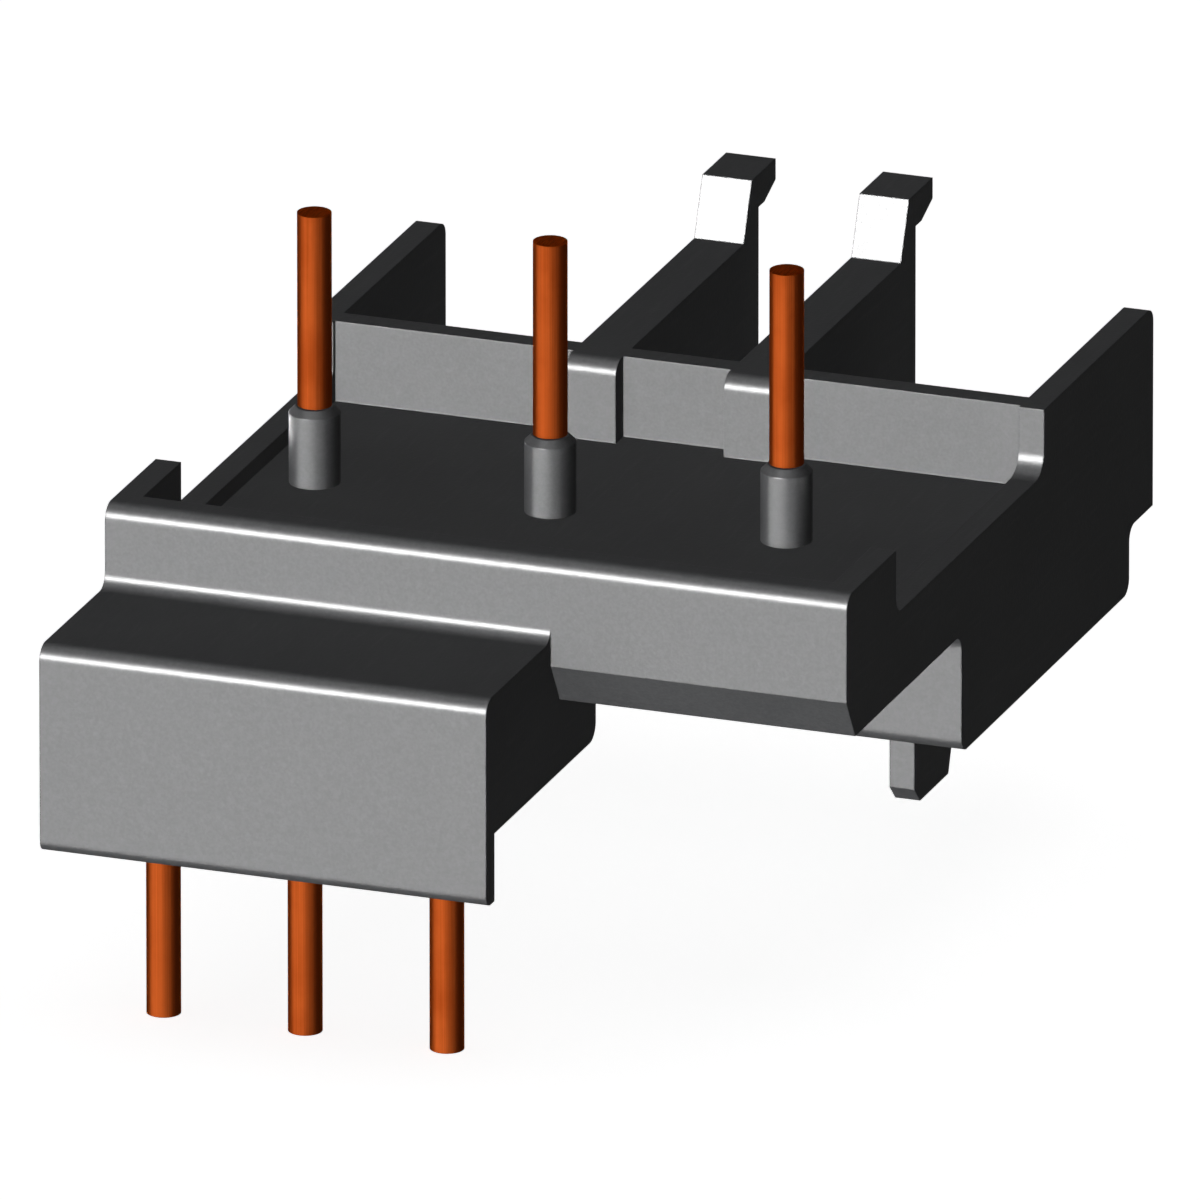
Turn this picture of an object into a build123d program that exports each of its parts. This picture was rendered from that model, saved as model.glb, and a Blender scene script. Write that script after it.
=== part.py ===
import os

from build123d import *

# Motor starter connecting link: three bent copper wires in a plastic carrier. It plugs into the three upper
# terminals of a contactor and carries the three lower terminals of a motor protection breaker.
# Lengths are in millimetres. X runs across the device, Y from its front to its back, Z upwards.
# The origin is on the axis of the middle contactor pin, where that pin leaves the terminal block.

# Wires
wire_diameter = 2.0
contactor_pitch = 8.62
breaker_pitch = 14.39
contactor_pin_length = 15.35
breaker_pin_length = 16.4
breaker_row_from_skirt = 20.65
wire_gap = 0.05
jog_radius = 3.0
jog_from_block = 0.5
neck_depth = 0.2
neck_width = 0.6

# Body
body_width = 45.0
side_thickness = 1.55
slab_thickness = 4.0
lip_thickness = 2.15
lip_height = 4.9
lip_return = 8.35
rim_height = 1.0
skirt_height = 6.4
skirt_bevel = 1.5
wall_from_skirt = 33.8
wall_thickness = 1.45
arm_from_skirt = 33.5
arm_reach = 18.8
heel_below_floor = 7.3
step_from_skirt = 48.25
body_below_floor = 11.27
plate_thickness = 1.5

# Terminal block
block_width = 27.1
block_depth = 18.25
block_height = 8.4
shelf_depth = 10.74
front_to_pins = 6.37
side_to_first_pin = 5.15
apron_thickness = 1.4
apron_drop = 4.1

# Latch hooks, in pairs about the middle of the body
hook_thickness = 3.05
hook_spacing = 9.65
rib_proud = 1.27
hook_web_end = 54.2
hook_head_front = 55.6
hook_head_back = 59.65
hook_arm_back = 56.75
hook_rise = 3.45
hook_nose = 1.28
hook_bevel = 0.73
hook_undercut = 1.0

# Leg and locating peg on the right
leg_from_skirt = 19.5
peg_from_side = 3.75
peg_width = 1.52
peg_from_leg_front = 2.5
peg_length = 4.54
peg_root_depth = 7.4
peg_tip_depth = 5.8
peg_bevel = 1.0

# Sleeves
sleeve_diameter = 3.0
sleeve_height = 4.64
sleeve_bevel = 0.4
floor_hole_diameter = 2.7
bend_relief_height = 0.3
bead_gap = 0.05

# Base cover
cover_thickness = 0.9
foot_thickness = 1.5
part_gap = 0.05
cover_margin = 2.0
cover_to_leg = 0.5
guide_wall = 1.1
guide_height = 1.9
guide_bead_inset = 0.15
stake_width = 1.8
stake_depth = 1.0
stake_head_rim = 0.5
stake_head_height = 0.4
stake_inset = 2.0

# Moulded edges
edge_radius = 1.0
shelf_radius = 0.9
apron_radius = 0.75
rim_radius = 1.45
back_radius = 0.9

# Heights
floor_z = block_height
slab_z = floor_z - slab_thickness
mid_slab_z = floor_z - slab_thickness / 2
top_z = floor_z + lip_height
rim_z = floor_z + rim_height
skirt_foot_z = top_z - skirt_height
heel_z = floor_z - heel_below_floor
bottom_z = floor_z - body_below_floor
head_z = top_z + hook_rise
cover_top_z = slab_z + cover_thickness
run_z = cover_top_z + wire_gap + wire_diameter / 2
ceiling_z = run_z + wire_diameter / 2 + wire_gap
bend_radius = floor_z - wire_gap - run_z
sleeve_top_z = floor_z + sleeve_height
pin_top_z = floor_z + breaker_pin_length
guide_top_z = foot_thickness + guide_height
guide_bead_z = guide_bead_inset
sleeve_bead_z = sleeve_top_z - neck_width + 2 * bead_gap

# Depths
front_y = -front_to_pins
apron_back_y = front_y + apron_thickness
block_back_y = front_y + block_depth
skirt_y = front_y + shelf_depth
lip_back_y = skirt_y + lip_thickness
return_y = skirt_y + lip_return
breaker_y = skirt_y + breaker_row_from_skirt
wall_y = skirt_y + wall_from_skirt
wall_back_y = wall_y + wall_thickness
arm_y = skirt_y + arm_from_skirt
arm_back_y = arm_y + arm_reach
step_y = skirt_y + step_from_skirt
leg_y = skirt_y + leg_from_skirt
leg_root_y = leg_y - 2 * edge_radius
peg_y = leg_y + peg_from_leg_front
jog_y = block_back_y + jog_from_block
cover_back_y = breaker_y + cover_margin

# Widths
contactor_x = [-contactor_pitch, 0.0, contactor_pitch]
breaker_x = [contactor_x[0] + count * breaker_pitch for count in range(len(contactor_x))]
left_x = contactor_x[0] - side_to_first_pin
right_x = left_x + body_width
middle_x = left_x + body_width / 2
block_right_x = left_x + block_width
cavity_left_x = left_x + side_thickness
cavity_right_x = block_right_x - side_thickness
channel_width = wire_diameter + 2 * wire_gap
bead_opening = wire_diameter - 2 * neck_depth + 2 * bead_gap
cover_right_x = breaker_x[-1] + cover_margin
leg_x = cover_right_x + cover_to_leg
hook_x = [middle_x + side * hook_spacing / 2 - hook_thickness / 2 for side in (-1, 1)]

# Wire routes seen from above: straight back out of the block, then across to the breaker's wider pitch
pin_pairs = list(zip(contactor_x, breaker_x))
contactor_spots = [(x, 0) for x in contactor_x]
breaker_spots = [(x, breaker_y) for x in breaker_x]
stake_front_y = jog_y + stake_inset
stake_back_y = breaker_y - stake_inset
stake_spots = [
    ((contactor_x[0] + contactor_x[1]) / 2, stake_front_y),
    ((contactor_x[0] + contactor_x[1]) / 2, stake_back_y),
    ((breaker_x[1] + breaker_x[2]) / 2, stake_back_y),
    (cover_right_x - stake_inset, stake_front_y),
]


def side_plate(corners, start_x, thickness, mode=Mode.ADD):
    """A plate that stands along the depth, from its side outline in rows of (y, z, corner radius)."""
    points = [(y, z) for y, z, radius in corners]
    radii = [radius for y, z, radius in corners]
    with BuildSketch(Plane.YZ.offset(start_x)) as outline:
        with BuildLine():
            FilletPolyline(*points, radius=radii, close=True)
        make_face()
    extrude(outline.sketch, amount=thickness, mode=mode)


def upright(low, high, low_z, high_z, mode=Mode.ADD):
    """A straight-sided block on the plan rectangle between two (x, y) corners."""
    middle = ((low[0] + high[0]) / 2, (low[1] + high[1]) / 2)
    with BuildSketch(Plane.XY.offset(low_z)) as plan:
        with Locations(middle):
            Rectangle(high[0] - low[0], high[1] - low[1])
    extrude(plan.sketch, amount=high_z - low_z, mode=mode)


def posts(spots, width, depth, low_z, high_z, mode=Mode.ADD):
    """Upright square-edged blocks of one size on a list of plan positions."""
    with BuildSketch(Plane.XY.offset(low_z)) as plan:
        with Locations(*spots):
            Rectangle(width, depth)
    extrude(plan.sketch, amount=high_z - low_z, mode=mode)


def turned(spot, half_section, mode=Mode.ADD):
    """A round piece on an upright axis, from its half section in rows of (radius, z)."""
    with BuildSketch(Plane((*spot, 0), x_dir=(1, 0, 0), z_dir=(0, -1, 0))) as half:
        with BuildLine():
            Polyline(*half_section, close=True)
        make_face()
    revolve(half.sketch, axis=Axis((*spot, 0), (0, 0, 1)), mode=mode)


def plan_route(pair):
    """The wire's line seen from above, from its contactor pin to its breaker pin."""
    start_x, end_x = pair
    if start_x == end_x:
        return Line((start_x, 0), (end_x, breaker_y))
    return FilletPolyline((start_x, 0), (start_x, jog_y), (end_x, breaker_y), radius=jog_radius)


def side_outline(foot_y):
    """Side of the body: lip return, rim, arm and heel step. Below the slab it starts at foot_y."""
    return [
        (skirt_y, skirt_foot_z, 0),
        (skirt_y, top_z, edge_radius),
        (return_y, top_z, 0),
        (return_y, rim_z, edge_radius),
        (arm_y, rim_z, rim_radius),
        (arm_y, top_z, 0),
        (arm_back_y, top_z, back_radius),
        (arm_back_y, heel_z, 0),
        (step_y, heel_z, back_radius),
        (step_y, bottom_z, back_radius),
        (foot_y, bottom_z, back_radius),
        (foot_y, slab_z, edge_radius),
        (skirt_y + skirt_bevel, slab_z, 0),
    ]


tray_section = [
    (skirt_y, skirt_foot_z, 0),
    (skirt_y, top_z, edge_radius),
    (lip_back_y, top_z, 0),
    (lip_back_y, floor_z, 0),
    (wall_y, floor_z, 0),
    (wall_y, top_z, 0),
    (wall_back_y, top_z, 0),
    (wall_back_y, slab_z, 0),
    (skirt_y + skirt_bevel, slab_z, 0),
]

block_section = [
    (front_y, floor_z, edge_radius),
    (front_y, -apron_drop, apron_radius),
    (apron_back_y, -apron_drop, 0),
    (apron_back_y, 0, 0),
    (block_back_y, 0, edge_radius),
    (block_back_y, mid_slab_z, 0),
    (lip_back_y, mid_slab_z, 0),
    (lip_back_y, floor_z + rim_height, 0),
    (skirt_y, floor_z + rim_height, 0),
    (skirt_y, floor_z, shelf_radius),
]

rear_section = [
    (wall_y, bottom_z, back_radius),
    (wall_y, mid_slab_z, 0),
    (wall_back_y, mid_slab_z, 0),
    (wall_back_y, bottom_z + plate_thickness, 0),
    (step_y, bottom_z + plate_thickness, 0),
    (step_y, bottom_z, back_radius),
]

leg_section = [
    (leg_root_y, mid_slab_z, 0),
    (leg_root_y, slab_z, 0),
    (leg_y, slab_z, edge_radius),
    (leg_y, bottom_z, back_radius),
    (step_y, bottom_z, back_radius),
    (step_y, bottom_z + plate_thickness, 0),
    (wall_back_y, bottom_z + plate_thickness, 0),
    (wall_back_y, mid_slab_z, 0),
]

hook_section = [
    (wall_y - rib_proud, mid_slab_z, 0),
    (wall_y - rib_proud, top_z, edge_radius),
    (skirt_y + hook_web_end, top_z, 0),
    (skirt_y + hook_head_front, head_z, 0),
    (skirt_y + hook_head_back, head_z, 0),
    (skirt_y + hook_head_back, head_z - hook_nose, 0),
    (skirt_y + hook_arm_back + hook_undercut, head_z - hook_nose - hook_bevel, 0),
    (skirt_y + hook_arm_back, head_z - hook_nose - hook_bevel, 0),
    (skirt_y + hook_arm_back, heel_z, back_radius),
    (step_y, heel_z, back_radius),
    (step_y, bottom_z, back_radius),
    (wall_y + wall_thickness / 2, bottom_z, 0),
    (wall_y + wall_thickness / 2, mid_slab_z, 0),
]

peg_section = [
    (peg_y, bottom_z + plate_thickness, 0),
    (peg_y, bottom_z - peg_length + peg_bevel, 0),
    (peg_y + peg_bevel, bottom_z - peg_length, 0),
    (peg_y + peg_tip_depth, bottom_z - peg_length, 0),
    (peg_y + peg_root_depth, bottom_z, 0),
    (peg_y + peg_root_depth, bottom_z + plate_thickness, 0),
]

# Housing: one moulding. The tray and its rear wall run across the whole width, the sides, hooks, terminal
# block and leg are added to them, and everything below the slab is hollow with open backs.
with BuildPart() as housing:
    side_plate(tray_section, left_x, body_width)
    side_plate(side_outline(wall_y), left_x, side_thickness)
    side_plate(side_outline(leg_y), right_x - side_thickness, side_thickness)
    side_plate(rear_section, left_x, leg_x - left_x)
    side_plate(leg_section, leg_x, right_x - leg_x)
    side_plate(block_section, left_x, block_width)
    for start_x in hook_x:
        side_plate(hook_section, start_x, hook_thickness)
    side_plate(peg_section, right_x - peg_from_side - peg_width, peg_width)

    # The leg is a box with a solid front and an open back
    upright(
        (leg_x + plate_thickness, leg_y + plate_thickness),
        (right_x - side_thickness, wall_back_y),
        bottom_z + plate_thickness,
        slab_z,
        Mode.SUBTRACT,
    )

    # Room for the wires' lower bends in the terminal block, open below and behind
    upright((cavity_left_x, apron_back_y), (cavity_right_x, block_back_y), 0, ceiling_z, Mode.SUBTRACT)

    # Shallow recess under the slab for the cover, and a channel for each wire above it
    upright((cavity_left_x, block_back_y), (cover_right_x, cover_back_y), slab_z, cover_top_z, Mode.SUBTRACT)
    with BuildSketch(Plane.XY.offset(cover_top_z)):
        for pair in pin_pairs:
            with BuildLine():
                plan_route(pair)
            trace(line_width=channel_width)
    extrude(amount=ceiling_z - cover_top_z, mode=Mode.SUBTRACT)

    # Each upper leg comes up through the floor, and the channel's ceiling is relieved for its bend
    with BuildSketch(Plane.XY.offset(cover_top_z)):
        for start_x, end_x in pin_pairs:
            end = Vector(end_x, breaker_y)
            heading = (end - Vector(start_x, jog_y)).normalized()
            with BuildLine():
                Line(end - heading * bend_radius, end)
            trace(line_width=channel_width)
    extrude(amount=ceiling_z + bend_relief_height - cover_top_z, mode=Mode.SUBTRACT)
    with BuildSketch(Plane.XY.offset(cover_top_z)):
        with Locations(*breaker_spots):
            Circle(floor_hole_diameter / 2)
    extrude(amount=floor_z - cover_top_z, mode=Mode.SUBTRACT)

    # Stakes hold the cover: a short post through it, with a head that was melted flat into its recess
    head_width = stake_width + 2 * stake_head_rim
    head_depth = stake_depth + 2 * stake_head_rim
    posts(stake_spots, stake_width, stake_depth, slab_z, mid_slab_z)
    posts(stake_spots, head_width, head_depth, slab_z, slab_z + stake_head_height)

housing.part.label = "housing"

# Base cover: one stepped moulding. Its foot closes the block's underside and its riser the block's back. Its
# flat plate lies flush in the slab's underside and holds the wires up in their channels.
cover_section = [
    (apron_back_y + part_gap, 0, 0),
    (block_back_y, 0, edge_radius),
    (block_back_y, slab_z, 0),
    (cover_back_y - part_gap, slab_z, 0),
    (cover_back_y - part_gap, cover_top_z - part_gap, 0),
    (block_back_y - foot_thickness, cover_top_z - part_gap, 0),
    (block_back_y - foot_thickness, foot_thickness, 0),
    (apron_back_y + part_gap, foot_thickness, 0),
]
with BuildPart() as base_cover:
    side_plate(cover_section, cavity_left_x + part_gap, cavity_right_x - cavity_left_x - 2 * part_gap)
    upright(
        (cavity_left_x + part_gap, block_back_y + part_gap),
        (cover_right_x - part_gap, cover_back_y - part_gap),
        slab_z,
        cover_top_z - part_gap,
    )

    # Each contactor pin stands in a square guide, where a bead snaps into the neck of the wire
    guide_width = channel_width + 2 * guide_wall
    bead_top_z = guide_bead_z + neck_width - 2 * bead_gap
    posts(contactor_spots, guide_width, guide_width, 0, guide_top_z)
    posts(contactor_spots, channel_width, channel_width, 0, guide_bead_z, Mode.SUBTRACT)
    posts(contactor_spots, bead_opening, bead_opening, guide_bead_z, bead_top_z, Mode.SUBTRACT)
    posts(contactor_spots, channel_width, channel_width, bead_top_z, guide_top_z, Mode.SUBTRACT)

    # Holes for the stakes, with a recess for each head
    gap = 2 * part_gap
    recess_top_z = slab_z + stake_head_height + part_gap
    posts(stake_spots, stake_width + gap, stake_depth + gap, slab_z, cover_top_z, Mode.SUBTRACT)
    posts(stake_spots, head_width + gap, head_depth + gap, slab_z, recess_top_z, Mode.SUBTRACT)

base_cover.part.label = "base_cover"

# Conductors: solid copper wire, cut square and bent cold. A plastic bead grips each leg where it leaves the
# plastic, in a straight neck below and in a tapered one above.
wire_radius = wire_diameter / 2
neck_radius = wire_radius - neck_depth
clear_radius = wire_radius + wire_gap
lower_neck = [
    (clear_radius, guide_bead_z - bead_gap),
    (neck_radius, guide_bead_z - bead_gap),
    (neck_radius, guide_bead_z - bead_gap + neck_width),
    (clear_radius, guide_bead_z - bead_gap + neck_width),
]
upper_neck = [
    (clear_radius, sleeve_bead_z - bead_gap),
    (wire_radius, sleeve_bead_z - bead_gap),
    (neck_radius, sleeve_top_z + bead_gap),
    (clear_radius, sleeve_top_z + bead_gap),
]
conductors = []
for number, (start_x, end_x) in enumerate(pin_pairs, start=1):
    bends = [(start_x, 0, run_z), (start_x, jog_y, run_z), (end_x, breaker_y, run_z)]
    radii = [bend_radius, jog_radius, bend_radius]
    if start_x == end_x:
        del bends[1], radii[1]
    with BuildPart() as conductor:
        with BuildLine() as route:
            FilletPolyline(
                (start_x, 0, -contactor_pin_length), *bends, (end_x, breaker_y, pin_top_z), radius=radii
            )
        with BuildSketch(Plane.XY.offset(-contactor_pin_length)):
            with Locations((start_x, 0)):
                Circle(wire_radius)
        sweep(path=route.line)
        turned((start_x, 0), lower_neck, Mode.SUBTRACT)
        turned((end_x, breaker_y), upper_neck, Mode.SUBTRACT)
    conductor.part.label = f"conductor_{number}"
    conductors.append(conductor.part)
    print(f"{conductor.part.label}: {route.wire().length:.2f} mm of wire, {conductor.part.volume:.2f} mm3")

# Sleeves: short insulating tubes that stand on the tray's floor. At the bevelled mouth a tapered bead closes
# on the neck of the wire.
sleeve_radius = sleeve_diameter / 2
sleeve_section = [
    (clear_radius, floor_z),
    (sleeve_radius, floor_z),
    (sleeve_radius, sleeve_top_z - sleeve_bevel),
    (sleeve_radius - sleeve_bevel, sleeve_top_z),
    (bead_opening / 2, sleeve_top_z),
    (clear_radius, sleeve_bead_z),
]
sleeves = []
for number, spot in enumerate(breaker_spots, start=1):
    with BuildPart() as sleeve:
        turned(spot, sleeve_section)
    sleeve.part.label = f"sleeve_{number}"
    sleeves.append(sleeve.part)

os.makedirs("parts", exist_ok=True)
export_step(housing.part, "parts/housing.step")
export_step(base_cover.part, "parts/base_cover.step")
for piece in conductors + sleeves:
    export_step(piece, f"parts/{piece.label}.step")
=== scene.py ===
import math

import bpy
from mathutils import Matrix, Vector


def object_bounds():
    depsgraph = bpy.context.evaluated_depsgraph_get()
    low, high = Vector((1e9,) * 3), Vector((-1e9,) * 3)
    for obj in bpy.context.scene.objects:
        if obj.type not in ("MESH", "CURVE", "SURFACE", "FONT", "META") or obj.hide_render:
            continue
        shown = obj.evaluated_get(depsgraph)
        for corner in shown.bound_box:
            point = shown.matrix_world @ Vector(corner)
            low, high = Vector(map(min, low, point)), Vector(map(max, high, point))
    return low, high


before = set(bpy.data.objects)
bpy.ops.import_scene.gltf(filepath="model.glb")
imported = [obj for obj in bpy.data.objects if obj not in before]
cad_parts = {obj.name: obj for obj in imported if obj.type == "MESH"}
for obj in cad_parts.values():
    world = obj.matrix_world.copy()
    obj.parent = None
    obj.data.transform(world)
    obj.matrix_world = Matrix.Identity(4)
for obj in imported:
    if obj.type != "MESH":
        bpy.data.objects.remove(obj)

cad_low, cad_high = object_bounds()

# Housing: one injection moulding in anthracite glass-filled nylon, with the tray, the terminal block, the
# rear wall, the two latch hooks and the leg with its peg in one piece. Its mould was spark-eroded, which
# leaves a fine even grain, and the glass fibres show as faint pale streaks from front to back.
mm = 0.001
anthracite_dark = (0.040, 0.041, 0.043, 1)
anthracite_pale = (0.066, 0.067, 0.069, 1)
nylon_ior = 1.52
housing_roughness = 0.37
eroded_grain = 0.18 * mm
eroded_grain_height = 0.004 * mm
coarse_to_fine_grain = 2.2
fine_grain_share = 0.6
pit_floor = 0.35
pit_rim = 0.65
moulded_edge = 0.1 * mm
edge_samples = 4
fibre_length = 4 * mm
fibre_width = 0.3 * mm
fibre_starts = 0.5
fibre_full = 0.75
flow_cloud = 9 * mm
noise_middle = 0.5
mean_paleness = 0.5
cloud_paleness = 0.35
pit_paleness = 0.5
fibre_paleness = 0.22
cloud_roughness = 0.06
pit_roughness = 0.05
fibre_polish = 0.02


class Reading:
    """A value read off a surface, or the start of a material's tree. Arithmetic on it adds Math nodes."""

    def __init__(self, tree, socket=None):
        self.tree = tree
        self.socket = socket

    def node(self, kind, settings=(), inputs=(), output=0):
        """Adds one node: its settings first, then the values or links of its sockets."""
        made = self.tree.nodes.new("ShaderNode" + kind)
        for name, value in dict(settings).items():
            setattr(made, name, value)
        for key, value in dict(inputs).items():
            if isinstance(value, Reading):
                self.tree.links.new(value.socket, made.inputs[key])
            else:
                made.inputs[key].default_value = value
        return Reading(self.tree, made.outputs[output] if len(made.outputs) else None)

    def __add__(self, other):
        return self.node("Math", {"operation": "ADD"}, {0: self, 1: other})

    def __radd__(self, other):
        return self.node("Math", {"operation": "ADD"}, {0: other, 1: self})

    def __sub__(self, other):
        return self.node("Math", {"operation": "SUBTRACT"}, {0: self, 1: other})

    def __rsub__(self, other):
        return self.node("Math", {"operation": "SUBTRACT"}, {0: other, 1: self})

    def __mul__(self, other):
        return self.node("Math", {"operation": "MULTIPLY"}, {0: self, 1: other})

    def __rmul__(self, other):
        return self.node("Math", {"operation": "MULTIPLY"}, {0: other, 1: self})

    def __abs__(self):
        return self.node("Math", {"operation": "ABSOLUTE"}, {0: self})


def new_finish(name):
    """An empty material and the start of its tree."""
    material = bpy.data.materials.new(name)
    material.use_nodes = True
    material.node_tree.nodes.clear()
    return material, Reading(material.node_tree)


def speckle(start, place, size, detail):
    """Noise from 0 to 1 whose lumps are about one size across."""
    return start.node("TexNoise", inputs={"Vector": place, "Scale": 1 / size, "Detail": detail})


def streaks(start, place, spans, detail):
    """Noise from 0 to 1 whose lumps have these spans along x, y and z."""
    per_span = tuple(1 / span for span in spans)
    stretched = start.node("VectorMath", {"operation": "MULTIPLY"}, {0: place, 1: per_span})
    return start.node("TexNoise", inputs={"Vector": stretched, "Scale": 1, "Detail": detail})


def between(start, value, low, high):
    """0 below low, 1 above high and a smooth step between them."""
    return start.node(
        "MapRange",
        {"interpolation_type": "SMOOTHSTEP"},
        {"Value": value, "From Min": low, "From Max": high},
    )


def blend(start, amount, first, second):
    """A colour from the first, at amount 0, to the second, at amount 1."""
    return start.node("Mix", {"data_type": "RGBA"}, {0: amount, 6: first, 7: second}, output=2)


def moulded_plastic(name, roughness, grain, grain_height):
    """Glass-filled nylon as moulded: an even grain, faint clouds and pale fibres along the flow."""
    material, start = new_finish(name)
    place = start.node("TexCoord", output="Object")
    cloud = speckle(start, place, size=flow_cloud, detail=3)
    fibre = streaks(start, place, spans=(fibre_width, fibre_length, fibre_width), detail=2)
    fibres = between(start, fibre, low=fibre_starts, high=fibre_full)
    coarse = speckle(start, place, size=coarse_to_fine_grain * grain, detail=2)
    fine = speckle(start, place, size=grain, detail=2)
    coarse_pits = between(start, coarse, low=pit_floor, high=pit_rim)
    fine_pits = between(start, fine, low=pit_floor, high=pit_rim)
    pits = (1 - fine_grain_share) * coarse_pits + fine_grain_share * fine_pits
    cloud_swing = cloud - noise_middle
    pit_swing = pits - noise_middle
    paleness = (
        mean_paleness
        + cloud_paleness * cloud_swing
        + pit_paleness * pit_swing
        + fibre_paleness * fibres
    )
    edge = start.node("Bevel", {"samples": edge_samples}, {"Radius": moulded_edge})
    surface = start.node(
        "BsdfPrincipled",
        inputs={
            "Base Color": blend(start, paleness, anthracite_dark, anthracite_pale),
            "Roughness": (
                roughness
                + cloud_roughness * cloud_swing
                + pit_roughness * pit_swing
                - fibre_polish * fibres
            ),
            "IOR": nylon_ior,
            "Normal": start.node("Bump", inputs={"Height": pits, "Distance": grain_height, "Normal": edge}),
        },
    )
    start.node("OutputMaterial", inputs={"Surface": surface})
    return material


def dress(node, finish):
    """Gives a piece its finish in the slots it has."""
    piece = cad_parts[node]
    for slot in piece.material_slots:
        slot.material = finish
    return piece


housing_plastic = moulded_plastic("housing_plastic", housing_roughness, eroded_grain, eroded_grain_height)
housing = dress("housing", housing_plastic)

# Base cover: a stepped moulding in the same nylon that closes the underside behind the wires. It is held by
# four stakes of the housing, melted flat. It is out of sight in use, so its mould was left a little coarser.
cover_grain = 0.34 * mm
cover_grain_height = 0.012 * mm
cover_roughness = 0.46
cover_plastic = moulded_plastic("cover_plastic", cover_roughness, cover_grain, cover_grain_height)
base_cover = dress("base_cover", cover_plastic)

# Sleeves: three short insulating tubes in the same nylon, pushed over the upper legs of the wires. They come
# from a turned and polished cavity, so they are smoother than the housing.
sleeve_grain = 0.14 * mm
sleeve_grain_height = 0.002 * mm
sleeve_roughness = 0.35
sleeve_plastic = moulded_plastic("sleeve_plastic", sleeve_roughness, sleeve_grain, sleeve_grain_height)
sleeves = [dress(f"sleeve_{number}", sleeve_plastic) for number in (1, 2, 3)]

# Conductors: three lengths of solid drawn copper wire, cut square and bent cold. The drawing die leaves fine
# lines along the wire, the bare metal has dulled a little in air, and the cut ends are darker and torn.
copper_bright = (0.90, 0.175, 0.032, 1)
copper_dull = (0.66, 0.10, 0.012, 1)
copper_cut = (0.52, 0.065, 0.005, 1)
copper_torn = (0.30, 0.034, 0.003, 1)
copper_edge_tint = (1, 0.6, 0.4, 1)
copper_roughness = 0.42
die_line = 0.06 * mm
die_line_length = 12 * mm
die_line_height = 0.003 * mm
die_line_floor = 0.3
die_line_crest = 0.7
tarnish_patch = 3.5 * mm
tarnish_starts = 0.35
tarnish_full = 0.75
mean_dullness = 0.22
tarnish_dullness = 0.4
line_dullness = 0.4
tarnish_roughness = 0.08
line_roughness = 0.06
cut_roughness = 0.08
cut_end_starts = 0.9
cut_end_full = 0.98
cut_mark = 0.09 * mm
cut_mark_length = 0.6 * mm
cut_mark_height = 0.012 * mm
cut_mark_floor = 0.35
cut_mark_crest = 0.65
wire_edge = 0.09 * mm


def drawn_copper(name):
    """Bare drawn copper, bright along the wire and dark at its sheared ends."""
    material, start = new_finish(name)
    place = start.node("TexCoord", output="Object")
    line = streaks(start, place, spans=(die_line, die_line, die_line_length), detail=3)
    lines = between(start, line, low=die_line_floor, high=die_line_crest)
    patch = speckle(start, place, size=tarnish_patch, detail=4)
    tarnish = between(start, patch, low=tarnish_starts, high=tarnish_full)
    facing = start.node("NewGeometry", output="Normal")
    upward = start.node("SeparateXYZ", inputs={0: facing}, output="Z")
    cut_end = between(start, abs(upward), low=cut_end_starts, high=cut_end_full)
    mark = streaks(start, place, spans=(cut_mark, cut_mark_length, cut_mark), detail=2)
    marks = between(start, mark, low=cut_mark_floor, high=cut_mark_crest)
    line_swing = lines - noise_middle
    dullness = mean_dullness + tarnish_dullness * tarnish + line_dullness * line_swing
    wire_colour = blend(start, dullness, copper_bright, copper_dull)
    end_colour = blend(start, marks, copper_cut, copper_torn)
    edge = start.node("Bevel", {"samples": edge_samples}, {"Radius": wire_edge})
    drawn = start.node("Bump", inputs={"Height": lines, "Distance": die_line_height, "Normal": edge})
    torn = start.node(
        "Bump", inputs={"Height": marks * cut_end, "Distance": cut_mark_height, "Normal": drawn}
    )
    surface = start.node(
        "BsdfPrincipled",
        inputs={
            "Base Color": blend(start, cut_end, wire_colour, end_colour),
            "Metallic": 1,
            "Specular Tint": copper_edge_tint,
            "Roughness": (
                copper_roughness
                + tarnish_roughness * tarnish
                + line_roughness * line_swing
                + cut_roughness * cut_end
            ),
            "Normal": torn,
        },
    )
    start.node("OutputMaterial", inputs={"Surface": surface})
    return material


copper = drawn_copper("drawn_copper")
conductors = [dress(f"conductor_{number}", copper) for number in (1, 2, 3)]

# Studio floor: a white sheet at the height of the lower pins' tips. It shines a little by itself, so that
# the link's shadow on it stays faint, and it can be looked through from below.
floor_reach = 1.5
floor_glow = 0.9
floor_roughness = 0.9
floor_white = (0.9, 0.9, 0.9, 1)
glow_white = (1, 1, 1, 1)
floor_mesh = bpy.data.meshes.new("studio_floor")
floor_corners = [
    (across * floor_reach, along * floor_reach, cad_low.z)
    for across, along in ((-1, -1), (1, -1), (1, 1), (-1, 1))
]
floor_mesh.from_pydata(floor_corners, [], [(0, 1, 2, 3)])
studio_floor = bpy.data.objects.new("studio_floor", floor_mesh)
bpy.context.scene.collection.objects.link(studio_floor)
floor_finish, start = new_finish("floor_paper")
paper = start.node(
    "BsdfPrincipled",
    inputs={
        "Base Color": floor_white,
        "Roughness": floor_roughness,
        "Specular IOR Level": 0,
        "Emission Color": glow_white,
        "Emission Strength": floor_glow,
    },
)
from_below = start.node("NewGeometry", output="Backfacing")
clear = start.node("BsdfTransparent")
sheet = start.node("MixShader", inputs={0: from_below, 1: paper, 2: clear})
start.node("OutputMaterial", inputs={"Surface": sheet})
floor_mesh.materials.append(floor_finish)
studio_floor.visible_glossy = False
studio_floor.visible_diffuse = False
studio_floor.visible_shadow = False

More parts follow.
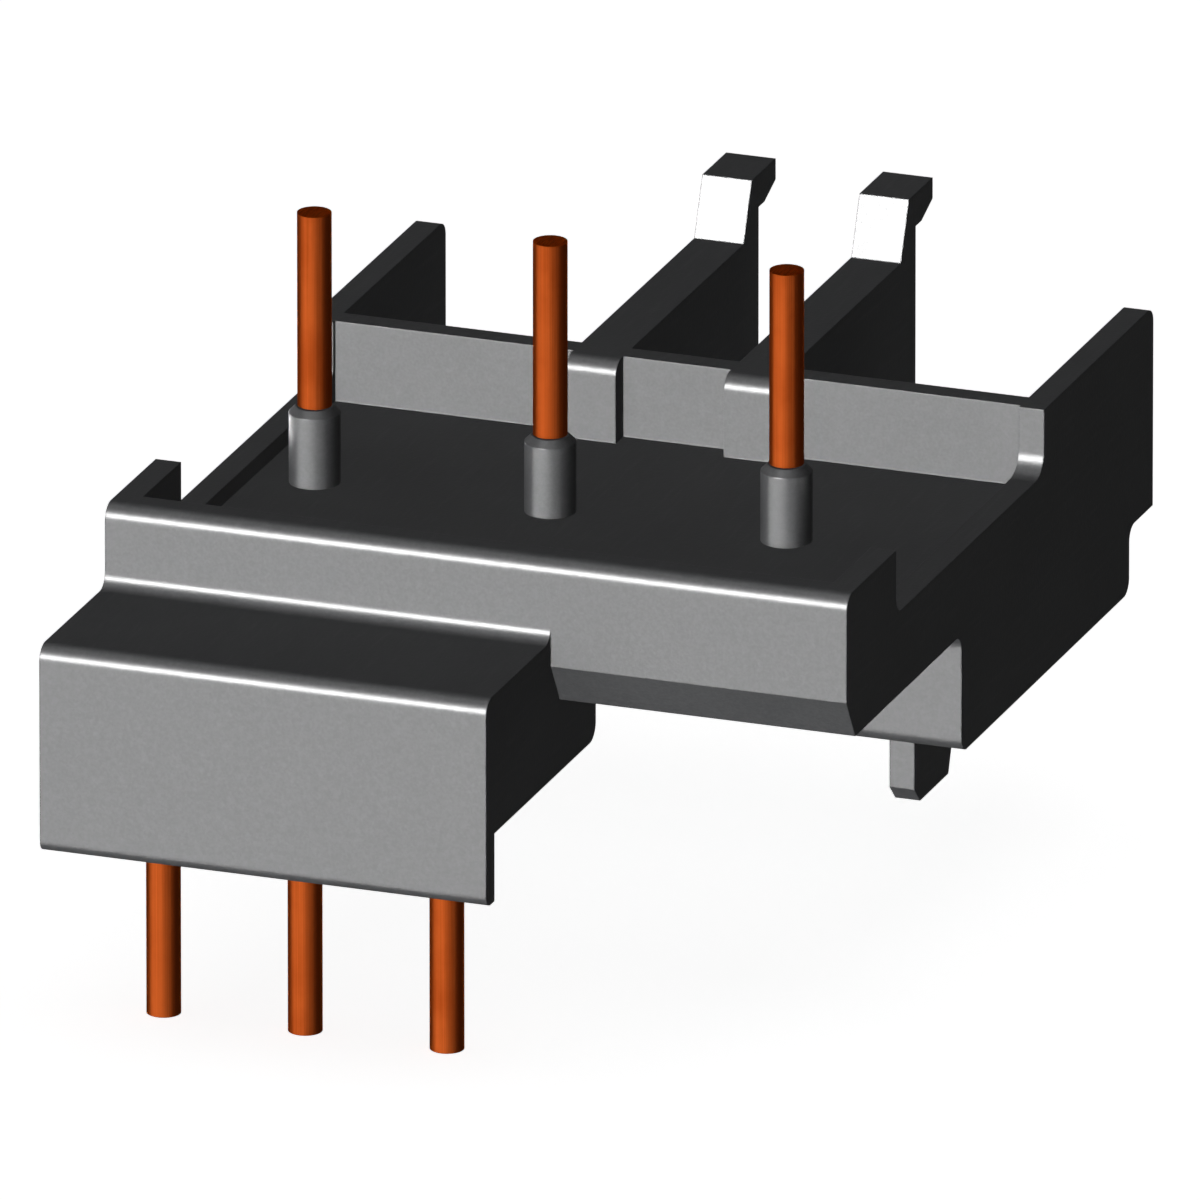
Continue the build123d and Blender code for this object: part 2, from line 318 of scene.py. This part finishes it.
# Studio light: soft boxes all round the link. Some light only the matt colour and some show only in the
# gloss, so each side gets its own even tone. As in the photograph's flat light, no piece is mirrored in
# another, and most of the front boxes cast no shadow. The copper and the floor have boxes of their own.
middle = (cad_low + cad_high) / 2
lamp_distance = 2.0
watts_for_glow = 4
air_glow = 0.022
background_glow = 1.0


def linked(name, pieces):
    """The pieces that a lamp lights, as a collection of their own."""
    group = bpy.data.collections.new(name)
    for piece in pieces:
        group.objects.link(piece)
    return group


def soft_box(name, lit, toward, span, glow, matt=True, gloss=True, shadows=True):
    """A rectangular lamp aimed at the link. Its direction, azimuth and elevation, and its span, across and
    up, are in degrees as seen from the link. Azimuth 0 is in front and 90 at the right."""
    turn, rise = (math.radians(angle) for angle in toward)
    away = Vector((math.sin(turn) * math.cos(rise), -math.cos(turn) * math.cos(rise), math.sin(rise)))
    lamp = bpy.data.lights.new(name, "AREA")
    lamp.shape = "RECTANGLE"
    lamp.size, lamp.size_y = (2 * lamp_distance * math.tan(math.radians(angle / 2)) for angle in span)
    lamp.energy = watts_for_glow * glow * lamp.size * lamp.size_y
    lamp.use_shadow = shadows
    lamp.cycles.use_multiple_importance_sampling = False
    holder = bpy.data.objects.new(name, lamp)
    holder.location = middle + away * lamp_distance
    holder.rotation_mode = "QUATERNION"
    holder.rotation_quaternion = away.to_track_quat("Z", "Y")
    holder.visible_camera = False
    holder.visible_diffuse = matt
    holder.visible_glossy = gloss
    holder.light_linking.receiver_collection = lit
    bpy.context.scene.collection.objects.link(holder)


for piece in (housing, base_cover, *sleeves, *conductors):
    piece.visible_glossy = False
plastic = linked("plastic_pieces", [housing, base_cover, *sleeves])
metal = linked("copper_pieces", conductors)
ground = linked("floor_only", [studio_floor])
soft_box("front_key", plastic, toward=(-17, 5), span=(20, 7), glow=60, gloss=False, shadows=False)
soft_box("front_shade", plastic, toward=(-17, 5), span=(20, 7), glow=12, gloss=False)
soft_box("front_sheen", plastic, toward=(-22, -22), span=(76, 44), glow=3.85, matt=False, shadows=False)
soft_box("front_sheen_shade", plastic, toward=(-22, -22), span=(76, 44), glow=0.4, matt=False)
soft_box("edge_line", plastic, toward=(-20, 24), span=(22, 20), glow=54, matt=False, shadows=False)
soft_box("edge_glow", plastic, toward=(-20, 50), span=(24, 28), glow=2.2, matt=False, shadows=False)
soft_box("side_glow", plastic, toward=(40, -22), span=(40, 44), glow=1.2, matt=False, shadows=False)
soft_box("top_fill", plastic, toward=(0, 90), span=(40, 40), glow=1.5, gloss=False, shadows=False)
soft_box("top_sheen", plastic, toward=(0, 90), span=(30, 30), glow=2.5, matt=False)
soft_box("left_fill", plastic, toward=(-100, -3), span=(30, 20), glow=12, gloss=False)
soft_box("left_sheen", plastic, toward=(-115, -18), span=(76, 40), glow=2.5, matt=False)
soft_box("back_fill", plastic, toward=(185, -3), span=(30, 20), glow=18, gloss=False)
soft_box("right_sheen", plastic, toward=(85, -18), span=(60, 40), glow=1.4, matt=False)
soft_box("under_fill", plastic, toward=(0, -90), span=(40, 40), glow=3, gloss=False, shadows=False)
soft_box("copper_front", metal, toward=(-28, -20), span=(90, 60), glow=0.6, shadows=False)
soft_box("copper_right", metal, toward=(45, -20), span=(50, 60), glow=0.22, shadows=False)
soft_box("copper_back", metal, toward=(200, 0), span=(90, 60), glow=0.15)
soft_box("copper_above", metal, toward=(0, 90), span=(110, 110), glow=0.13, shadows=False)
soft_box("floor_light", ground, toward=(0, 90), span=(60, 60), glow=0.3)

world = bpy.data.worlds.new("studio_air")
world.use_nodes = True
world.node_tree.nodes.clear()
air = Reading(world.node_tree)
seen = air.node("LightPath", output="Is Camera Ray")
dim = air.node("Background", inputs={"Color": glow_white, "Strength": air_glow})
white = air.node("Background", inputs={"Color": glow_white, "Strength": background_glow})
air.node("OutputWorld", inputs={"Surface": air.node("MixShader", inputs={0: seen, 1: dim, 2: white})})
bpy.context.scene.world = world
bpy.context.scene.view_settings.view_transform = "Standard"

# Camera: the photograph looks from 20 degrees right of the front and 20 degrees above, without perspective,
# so a very long lens stands far off. The picture is 68.86 mm wide at the middle of the link.
view_azimuth = math.radians(20)
view_elevation = math.radians(20)
picture_width = 68.861 * mm
picture_right = -1.235 * mm
picture_up = -2.562 * mm
lens = 1700
sensor = 36
nearest_seen = 0.1
farthest_seen = 10
back = Vector(
    (
        math.sin(view_azimuth) * math.cos(view_elevation),
        -math.cos(view_azimuth) * math.cos(view_elevation),
        math.sin(view_elevation),
    )
)
right = Vector((math.cos(view_azimuth), math.sin(view_azimuth), 0))
up = back.cross(right)
aim = middle + right * picture_right + up * picture_up
camera = bpy.data.objects.new("camera", bpy.data.cameras.new("camera"))
camera.data.lens = lens
camera.data.sensor_width = sensor
camera.data.clip_start = nearest_seen
camera.data.clip_end = farthest_seen
camera.location = aim + back * (picture_width * lens / sensor)
camera.rotation_mode = "QUATERNION"
camera.rotation_quaternion = back.to_track_quat("Z", "Y")
bpy.context.scene.collection.objects.link(camera)
bpy.context.scene.camera = camera
